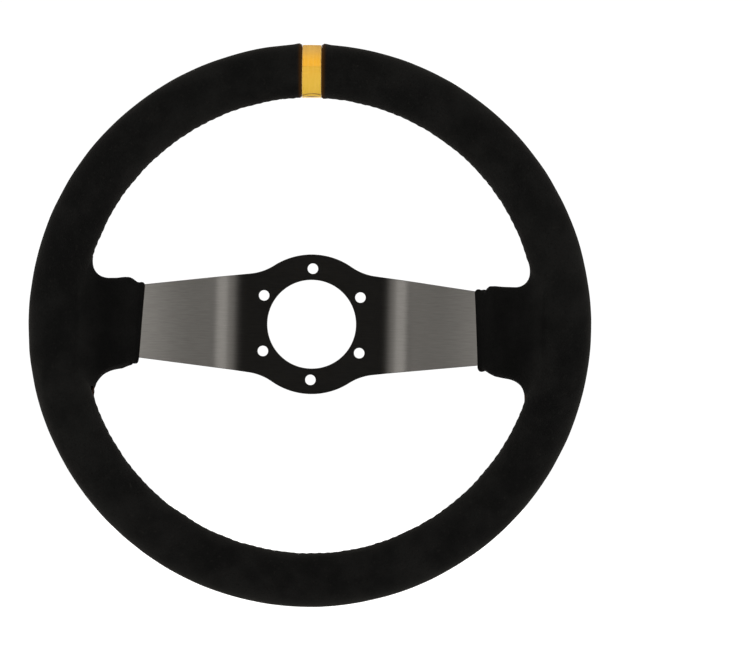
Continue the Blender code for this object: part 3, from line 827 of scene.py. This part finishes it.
class Nodes:
    """A short way to write the nodes of a material or of the world."""

    def __init__(self, owner):
        self.owner = bpy.data.materials.new(owner) if isinstance(owner, str) else owner
        self.owner.use_nodes = True
        self.tree = self.owner.node_tree

    def new(self, kind):
        return self.tree.nodes.new("ShaderNode" + kind)

    def put(self, socket, value):
        if isinstance(value, bpy.types.NodeSocket):
            self.tree.links.new(value, socket)
        else:
            socket.default_value = value

    def math(self, operation, first, second=0.0):
        node = self.new("Math")
        node.operation = operation
        self.put(node.inputs[0], first)
        self.put(node.inputs[1], second)
        return node.outputs[0]

    def mapped(self, value, low, high, to_low=0.0, to_high=1.0, kind="SMOOTHSTEP"):
        node = self.new("MapRange")
        node.interpolation_type = kind
        self.put(node.inputs["Value"], value)
        for key, number in (("From Min", low), ("From Max", high), ("To Min", to_low), ("To Max", to_high)):
            node.inputs[key].default_value = number
        return node.outputs["Result"]

    def mix(self, factor, first, second):
        """A blend of two colours, each a socket or (red, green, blue, 1)."""
        node = self.new("Mix")
        node.data_type = "RGBA"
        self.put(node.inputs[0], factor)
        self.put(node.inputs[6], first)
        self.put(node.inputs[7], second)
        return node.outputs[2]

    def noise(self, vector, scale, detail=2.0, roughness=0.5, stretch=None):
        if stretch:
            mapping = self.new("Mapping")
            mapping.inputs["Scale"].default_value = stretch
            self.put(mapping.inputs["Vector"], vector)
            vector = mapping.outputs[0]
        node = self.new("TexNoise")
        node.inputs["Scale"].default_value = scale
        node.inputs["Detail"].default_value = detail
        node.inputs["Roughness"].default_value = roughness
        self.put(node.inputs["Vector"], vector)
        return node.outputs[0]

    def place(self):
        return self.new("TexCoord").outputs["Object"]

    def attribute(self, name):
        node = self.new("Attribute")
        node.attribute_name = name
        return node.outputs["Fac"]

    def bump(self, height, distance, strength=1.0, after=None):
        node = self.new("Bump")
        node.inputs["Strength"].default_value = strength
        node.inputs["Distance"].default_value = distance
        self.put(node.inputs["Height"], height)
        if after is not None:
            self.put(node.inputs["Normal"], after)
        return node.outputs[0]

    def surface(self, **inputs):
        shader = self.tree.nodes["Principled BSDF"]
        for key, value in inputs.items():
            self.put(shader.inputs[key.replace("_", " ")], value)
        return self.owner


def suede_material():
    n = Nodes("black_suede")
    place = n.place()
    nap = n.noise(place, 1500, 3, 0.6)
    fibre = n.noise(place, 520, 4, 0.65)
    brushed = n.noise(place, 62, 3, 0.55)
    broad = n.noise(place, 19, 2, 0.5)
    worn = n.math("ADD", n.math("MULTIPLY", brushed, 0.55), n.math("MULTIPLY", broad, 0.45))
    tone = n.mapped(worn, 0.36, 0.66)
    base = n.mix(tone, (0.0025, 0.0025, 0.0024, 1), (0.0052, 0.0051, 0.0048, 1))
    base = n.mix(n.mapped(fibre, 0.54, 0.80), base, (0.0080, 0.0077, 0.0069, 1))
    base = n.mix(n.mapped(nap, 0.30, 0.46, 1.0, 0.0), base, (0.0014, 0.0014, 0.0013, 1))
    # Painted shade: the sleeves' colour is darkened towards their hems, standing in for their pile lying away
    # from the light, so they look darker than the rim.
    painted_sleeve_shade = n.attribute("painted_sleeve_shade")
    base = n.mix(n.math("MULTIPLY", painted_sleeve_shade, 0.45), base, (0.0002, 0.0002, 0.0002, 1))
    raw = n.attribute("raw")
    brown = n.mix(fibre, (0.022, 0.011, 0.006, 1), (0.060, 0.026, 0.015, 1))
    ragged = n.mapped(n.math("ADD", raw, n.math("MULTIPLY", n.math("SUBTRACT", fibre, 0.5), 0.9)), 0.30, 0.75)
    base = n.mix(ragged, base, brown)
    # Painted glow: orange-brown on the suede beside the marker, for light thrown onto it from the yellow
    # band.
    base = n.mix(n.attribute("stain_and_painted_glow"), base, (0.036, 0.0135, 0.0005, 1))
    leather = n.bump(n.noise(place, 240, 3, 0.6), 0.00028, 0.5)
    pile = n.bump(nap, 0.00022, 0.8, leather)
    return n.surface(
        Base_Color=base,
        Roughness=n.mapped(fibre, 0.3, 0.7, 0.86, 1.0),
        Specular_IOR_Level=0.025,
        Sheen_Weight=n.mapped(painted_sleeve_shade, 0.0, 1.0, 0.042, 0.016, "LINEAR"),
        Sheen_Roughness=0.45,
        Sheen_Tint=(0.62, 0.58, 0.50, 1),
        Normal=pile,
    )


def grained_material(name, scale, stretch, detail, tones, rough, bump, **inputs):
    """A material whose tone, roughness and bump all follow one noise."""
    n = Nodes(name)
    grain = n.noise(n.place(), scale, detail, 0.6, stretch)
    rough, bump = n.mapped(grain, *rough), n.bump(grain, *bump)
    return n.surface(Base_Color=n.mix(grain, *tones), Roughness=rough, Normal=bump, **inputs)


def raw_edge_material():
    """The cut edge of the suede, where the brown leather shows."""
    tones = (0.012, 0.007, 0.005, 1), (0.070, 0.030, 0.018, 1)
    rough, bump = (0.2, 0.8, 0.8, 1.0), (0.0002, 0.8)
    return grained_material("suede_cut_edge", 900, None, 4, tones, rough, bump, Specular_IOR_Level=0.1)


def thread_material():
    tones = (0.0035, 0.0033, 0.0032, 1), (0.016, 0.0145, 0.0135, 1)
    rough, bump = (0.2, 0.8, 0.55, 0.8), (0.0001, 0.9)
    stretch = (2600, 900, 2600)
    sheen = dict(Sheen_Weight=0.06, Sheen_Roughness=0.4)
    return grained_material("black_bonded_thread", 1.0, stretch, 2, tones, rough, bump, **sheen)


def rivet_material():
    tones = (0.36, 0.355, 0.34, 1), (0.58, 0.575, 0.55, 1)
    rough, bump = (0.3, 0.7, 0.28, 0.48), (0.00004, 0.6)
    return grained_material("zinc_plated_rivet", 420, None, 4, tones, rough, bump, Metallic=1.0)


def plate_material():
    """Black anodised aluminium, brushed along the spokes."""
    n = Nodes("brushed_black_anodised")
    uv = n.new("UVMap")
    uv.uv_map = "Brush"
    lines = uv.outputs[0]
    fine = n.noise(lines, 1.0, 4, 0.65, stretch=(120, 5200, 1))
    mid = n.noise(lines, 1.0, 3, 0.55, stretch=(75, 1300, 1))
    wide = n.noise(lines, 1.0, 2, 0.5, stretch=(14, 190, 1))
    cloud = n.noise(n.place(), 26, 2, 0.5)
    streak = n.math("ADD", n.math("MULTIPLY", fine, 0.55), n.math("MULTIPLY", mid, 0.45))
    tone = n.mapped(streak, 0.34, 0.66, 0.0, 1.0, "LINEAR")
    base = n.mix(tone, (0.107, 0.102, 0.095, 1), (0.143, 0.137, 0.128, 1))
    scratch = n.mapped(n.noise(lines, 1.0, 3, 0.8, stretch=(150, 9000, 1)), 0.66, 0.74, 0.0, 0.6)
    base = n.mix(scratch, base, (0.22, 0.21, 0.197, 1))
    rough = n.mapped(streak, 0.3, 0.7, 0.335, 0.395, "LINEAR")
    for uneven, much in ((wide, 0.05), (cloud, 0.03)):
        rough = n.math("ADD", rough, n.math("MULTIPLY", n.math("SUBTRACT", uneven, 0.5), much))
    tangent = n.new("Tangent")
    tangent.direction_type = "UV_MAP"
    tangent.uv_map = "Brush"
    return n.surface(
        Base_Color=base,
        Metallic=1.0,
        Roughness=rough,
        Anisotropic=0.92,
        Anisotropic_Rotation=0.25,
        Tangent=tangent.outputs[0],
        Normal=n.bump(streak, 0.000012, 0.7),
    )


def marker_material():
    n = Nodes("yellow_marker_leather")
    place = n.place()
    along = n.attribute("round")
    # Painted light and shade: the band's colour follows its angle round the grip, brightest just before the
    # first crease and darker towards the rim's outer line and past that crease; its sewn end is paler.
    base = n.mix(n.mapped(along, 0.08, 0.34), (0.490, 0.270, 0.047, 1), (0.625, 0.300, 0.007, 1))
    base = n.mix(n.mapped(along, 0.385, 0.415), base, (0.520, 0.290, 0.013, 1))
    base = n.mix(n.mapped(along, 0.42, 0.70), base, (0.515, 0.310, 0.012, 1))
    base = n.mix(n.mapped(along, 0.955, 1.0), base, (0.780, 0.600, 0.300, 1))
    streaks = n.noise(place, 1.0, 3, 0.6, stretch=(1900, 45, 45))
    base = n.mix(n.mapped(streaks, 0.42, 0.72, 0.0, 0.45), base, (0.62, 0.37, 0.06, 1))
    speck = n.noise(place, 420, 4, 0.6)
    base = n.mix(n.mapped(speck, 0.55, 0.80, 0.0, 0.30), base, (0.46, 0.22, 0.03, 1))
    # Painted shade: the band is darkened brown in its folds and creases.
    painted_fold_shade = n.attribute("painted_fold_shade")
    base = n.mix(n.mapped(painted_fold_shade, 0.10, 0.95, 0.0, 0.85), base, (0.110, 0.048, 0.010, 1))
    base = n.mix(n.mapped(n.attribute("raw"), 0.1, 0.9, 0.0, 0.55), base, (0.74, 0.52, 0.22, 1))
    grain = n.bump(n.noise(place, 900, 4, 0.55), 0.00009, 0.6)
    return n.surface(
        Base_Color=base,
        Roughness=n.mapped(speck, 0.3, 0.7, 0.44, 0.60),
        Specular_IOR_Level=0.4,
        Normal=n.bump(streaks, 0.00005, 0.5, grain),
    )


def ring_material():
    n = Nodes("mill_finish_aluminium")
    place = n.place()
    rolled = n.noise(place, 1.0, 4, 0.6, stretch=(900, 900, 90))
    stain_and_painted_glow = n.noise(place, 70, 3, 0.6)
    base = n.mix(rolled, (0.50, 0.50, 0.50, 1), (0.66, 0.66, 0.65, 1))
    base = n.mix(n.mapped(stain_and_painted_glow, 0.5, 0.8, 0.0, 0.5), base, (0.36, 0.35, 0.34, 1))
    rough, bump = n.mapped(rolled, 0.3, 0.7, 0.36, 0.5), n.bump(rolled, 0.00003, 0.6)
    return n.surface(Base_Color=base, Metallic=1.0, Roughness=rough, Normal=bump)


def foam_material():
    n = Nodes("moulded_foam")
    place = n.place()
    cells = n.new("TexVoronoi")
    cells.inputs["Scale"].default_value = 1100
    n.put(cells.inputs["Vector"], place)
    skin_tone = n.noise(place, 90, 3, 0.6)
    base = n.mix(skin_tone, (0.008, 0.008, 0.008, 1), (0.015, 0.015, 0.015, 1))
    # Painted shade: the foam is darkened in the middle of each cell, where its pores sink in.
    base = n.mix(n.mapped(cells.outputs[0], 0.0, 0.35, 0.7, 0.0), base, (0.004, 0.004, 0.004, 1))
    rough, bump = n.mapped(skin_tone, 0.3, 0.7, 0.84, 0.96), n.bump(cells.outputs[0], 0.0002, 0.7)
    return n.surface(Base_Color=base, Roughness=rough, Normal=bump)


# ---- Camera, light and floor.

CAMERA_LENS = 500.75  # mm, on a sensor 36 wide
CAMERA_DISTANCE = 6.52
RIGHT_OF_AXIS = math.radians(0.94)
ABOVE_AXIS = math.radians(0.68)
CAMERA_ROLL = math.radians(1.3)
WHEEL_LEFT = 41.57 * MM  # the rim's centre from the middle of the frame
WHEEL_UP = 1.18 * MM

ROOM_TINT = (1.0, 0.985, 0.965, 1)
ROOM_STRENGTH = 1.15
FRONT_MIDDLE = 0.03  # how far to the left the dark front lies, by the direction's X
DARK_TO, LIGHT_FROM = 0.10, 0.46  # the front is dark out to the first and light from the second
DARKEST = 0.036
SEEN_STRENGTH = 1.05  # of the plain white that the camera sees
SOFTBOX_PLACE = (2.3, -1.5, 0.9)  # of the right one, and the left one mirrors it
SOFTBOX_SIZE = (2.1, 2.2)
SOFTBOX_POWER = 27
FLOOR_HALF = 12
FLOOR_Z = -0.46


def add_camera():
    """A long lens, a little to the right of the steering axis and above it, and rolled."""
    level = math.cos(RIGHT_OF_AXIS) * math.cos(ABOVE_AXIS)
    back = Vector((math.sin(RIGHT_OF_AXIS), -level, math.sin(ABOVE_AXIS))).normalized()
    right = Vector((0, 0, 1)).cross(back).normalized()
    up = back.cross(right)
    rolled_right = right * math.cos(CAMERA_ROLL) + up * math.sin(CAMERA_ROLL)
    rolled_up = up * math.cos(CAMERA_ROLL) - right * math.sin(CAMERA_ROLL)
    centre = Vector((0, RIM_CENTRE_Y, 0))
    place = centre + back * CAMERA_DISTANCE
    look = (place - (centre + rolled_right * WHEEL_LEFT - rolled_up * WHEEL_UP)).normalized()
    side = rolled_up.cross(look).normalized()
    top = look.cross(side)
    lens = bpy.data.cameras.new("camera")
    lens.sensor_width = 36
    lens.lens = CAMERA_LENS
    lens.clip_start = 0.5
    lens.clip_end = 60
    camera = add_object("camera", lens)
    camera.matrix_world = Matrix.Translation(place) @ Matrix((side, top, look)).transposed().to_4x4()
    bpy.context.scene.camera = camera


def add_world():
    """A white room that is dark in front, as in a light tent with a black front."""
    world = bpy.data.worlds.new("studio")
    bpy.context.scene.world = world
    n = Nodes(world)
    n.tree.nodes.clear()
    split = n.new("SeparateXYZ")
    n.put(split.inputs[0], n.new("TexCoord").outputs["Generated"])
    aside = n.math("ABSOLUTE", n.math("ADD", split.outputs["X"], FRONT_MIDDLE))
    sides = n.mapped(aside, DARK_TO, LIGHT_FROM, DARKEST, 1.0)
    # It is brighter beside the wheel and behind it, and a little brighter above.
    beside = n.mapped(split.outputs["Y"], -0.80, -0.15, 1.0, 1.56)
    height = n.mapped(split.outputs["Z"], -0.9, 0.9, 0.9, 1.05)
    strength = n.math("MULTIPLY", n.math("MULTIPLY", sides, height), beside)
    mix = n.new("MixShader")
    n.put(mix.inputs[0], n.new("LightPath").outputs["Is Camera Ray"])
    kinds = (ROOM_TINT, n.math("MULTIPLY", strength, ROOM_STRENGTH)), ((1, 1, 1, 1), SEEN_STRENGTH)
    for number, (colour, strength) in enumerate(kinds):
        background = n.new("Background")
        background.inputs["Color"].default_value = colour
        n.put(background.inputs["Strength"], strength)
        n.put(mix.inputs[1 + number], background.outputs[0])
    n.put(n.new("OutputWorld").inputs[0], mix.outputs[0])


def add_softbox(side, word):
    name = f"softbox_{word}"
    data = bpy.data.lights.new(name, "AREA")
    data.shape = "RECTANGLE"
    data.size, data.size_y = SOFTBOX_SIZE
    data.energy = SOFTBOX_POWER
    light = add_object(name, data)
    x, y, z = SOFTBOX_PLACE
    light.location = (side * x, y, z)
    aim = Vector((0, RIM_CENTRE_Y, 0)) - Vector((side * x, y, z))
    light.rotation_euler = aim.to_track_quat("-Z", "Y").to_euler()


def add_floor():
    n = Nodes("pale_floor")
    tone = n.noise(n.place(), 1.3, 2, 0.5)
    base = n.mix(tone, (0.86, 0.86, 0.86, 1), (0.90, 0.90, 0.90, 1))
    material = n.surface(Base_Color=base, Roughness=0.9, Emission_Color=(1, 1, 1, 1), Emission_Strength=0.35)
    verts = [(x * FLOOR_HALF, y * FLOOR_HALF, FLOOR_Z) for x, y in ((-1, -1), (1, -1), (1, 1), (-1, 1))]
    floor = piece_from("floor", verts, [(0, 1, 2, 3)], [material])
    floor.visible_glossy = False


# ---- The scene.


def build():
    scene = bpy.context.scene
    scene.view_settings.view_transform = "Standard"
    scene.view_settings.look = "None"
    add_camera()
    add_world()
    add_floor()
    for side, word in SIDES:
        add_softbox(side, word)

    core_nodes = [name for name in sorted(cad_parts) if name.startswith("grip_core")]
    suede = suede_material()
    cut_edge = raw_edge_material()
    thread = thread_material()

    plate = pressed_plate(plate_material())
    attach(plate, "root")
    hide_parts("spoke_plate")

    cover = rim_cover([suede, cut_edge])
    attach(cover, "root")
    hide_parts("rim_cover")

    for side, word in SIDES:
        piece = sleeve(side, f"suede_sleeve_{word}", [suede, cut_edge])
        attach(piece, "root")
        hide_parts(f"spoke_sleeve_{word}")

    band = marker_band([marker_material(), cut_edge])
    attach(band, "root")
    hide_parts("centre_marker")

    edge = (MARKER_WIDTH / 2) / GRIP_RADIUS
    mouth_end = MOUTH_HALF + math.radians(0.6)
    spans = {
        "seam_upper_left": (MARKER_ANGLE + edge, math.pi - mouth_end),
        "seam_upper_right": (mouth_end, MARKER_ANGLE - edge),
        "seam_lower": (math.pi + mouth_end, 2 * math.pi - mouth_end),
        "seam_marker": (MARKER_ANGLE - edge, MARKER_ANGLE + edge),
    }
    for node, (start, end) in spans.items():
        radius = MARKER_THREAD if node == "seam_marker" else RIM_THREAD
        row = rim_stitches(node.replace("seam", "stitches"), start, end, thread, radius)
        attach(row, "root")
        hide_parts(node)
    for side, word in SIDES:
        row = sleeve_stitches(f"stitches_sleeve_{word}", side, thread)
        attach(row, "root")
        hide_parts(f"seam_sleeve_{word}")

    foam = foam_material()
    for side, word in SIDES:
        pad = spoke_pad(side, f"foam_pad_{word}", foam)
        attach(pad, "root")
        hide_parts(f"spoke_pad_{word}")

    hidden = {name: foam for name in core_nodes}
    hidden["rim_ring"] = ring_material()
    steel = rivet_material()
    hidden |= {name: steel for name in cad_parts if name.startswith("rivet")}
    for node, material in hidden.items():
        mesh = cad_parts[node].data
        mesh.materials.clear()
        mesh.materials.append(material)


build()
